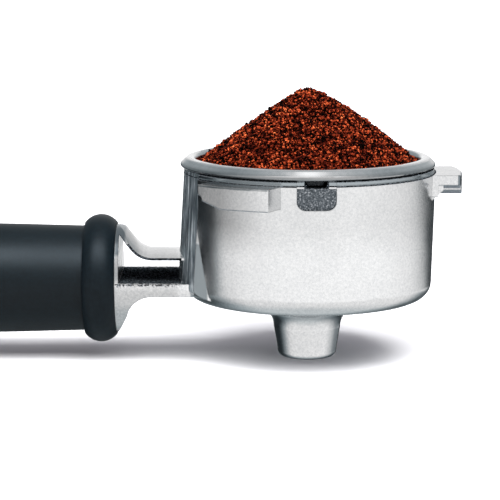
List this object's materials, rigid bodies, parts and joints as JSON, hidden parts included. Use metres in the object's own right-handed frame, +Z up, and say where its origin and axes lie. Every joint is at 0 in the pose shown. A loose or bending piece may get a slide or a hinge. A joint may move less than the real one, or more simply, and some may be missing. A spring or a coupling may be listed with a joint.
{
  "type": "espresso portafilter",
  "caption": "Espresso portafilter: cast filter holder with bayonet lugs, a drip spout and a split neck, a lift-out basket heaped with ground coffee, and a soft-grip handle.",
  "frame": {"origin": "on the cup's axis, at the seat where the basket's rim rests on the filter holder", "axes": "+Z up along the cup's axis towards the coffee machine's group, handle along -X, one lug centred on +X"},
  "size_m": [0.2159, 0.0728, 0.0665],
  "materials": {
    "cast_metal": "satin, fine cast grain",
    "basket_steel": "polished",
    "coffee": "loose granules, matte",
    "spring_steel": "drawn wire",
    "insert_plastic": "matte",
    "collar_rubber": "satin",
    "core_plastic": "matte",
    "grip_rubber": "soft-touch matte",
    "bolt_steel": "zinc plated",
    "cap_plastic": "satin",
    "disc_steel": "brushed, blank"
  },
  "bodies": {
    "holder": {"filter_holder": "cast_metal", "basket_retaining_spring": "spring_steel", "collar_ring": "collar_rubber", "handle_core": "core_plastic", "grip_sleeve": "grip_rubber", "handle_bolt": "bolt_steel", "flat_washer": "bolt_steel", "lock_washer": "bolt_steel", "end_cap": "cap_plastic", "cap_disc": "disc_steel"},
    "basket": {"filter_basket": "basket_steel"},
    "grounds": {"coffee_grounds": "coffee"},
    "insert": {"spout_insert": "insert_plastic"}
  },
  "joints": [
    {"name": "basket_lift", "type": "slide", "parent": "holder", "child": "basket", "axis": [0, 0, 1], "range_m": [0, 0.045]},
    {"name": "grounds_lift", "type": "slide", "parent": "basket", "child": "grounds", "axis": [0, 0, 1], "range_m": [0, 0.045]},
    {"name": "insert_pull", "type": "slide", "parent": "holder", "child": "insert", "axis": [0, 0, -1], "range_m": [0, 0.016]}
  ]
}
